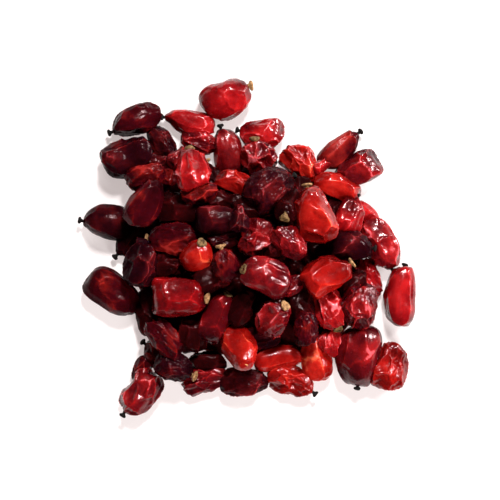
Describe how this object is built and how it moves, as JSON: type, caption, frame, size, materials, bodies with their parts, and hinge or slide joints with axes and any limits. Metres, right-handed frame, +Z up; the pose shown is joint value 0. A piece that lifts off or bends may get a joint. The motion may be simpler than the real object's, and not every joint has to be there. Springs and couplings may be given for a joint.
{
  "type": "heap of dried barberries",
  "caption": "Loose low heap of dried barberries, wrinkled oblong dark red to orange-red fruits with small stalk stubs, lying as tipped out on a flat surface",
  "frame": {"origin": "on the flat surface the heap lies on, in the middle of the heap's footprint", "axes": "+Z up, +Y away from the viewer who looks down on the heap, +X to that viewer's right"},
  "size_m": [0.0602, 0.0613, 0.0145],
  "materials": {
    "berry_skin": "dried fruit skin, thin, wrinkled and slightly glossy, dark red to orange-red from berry to berry"
  },
  "bodies": {
    "root": {"barberry_heap": "berry_skin"}
  },
  "joints": []
}
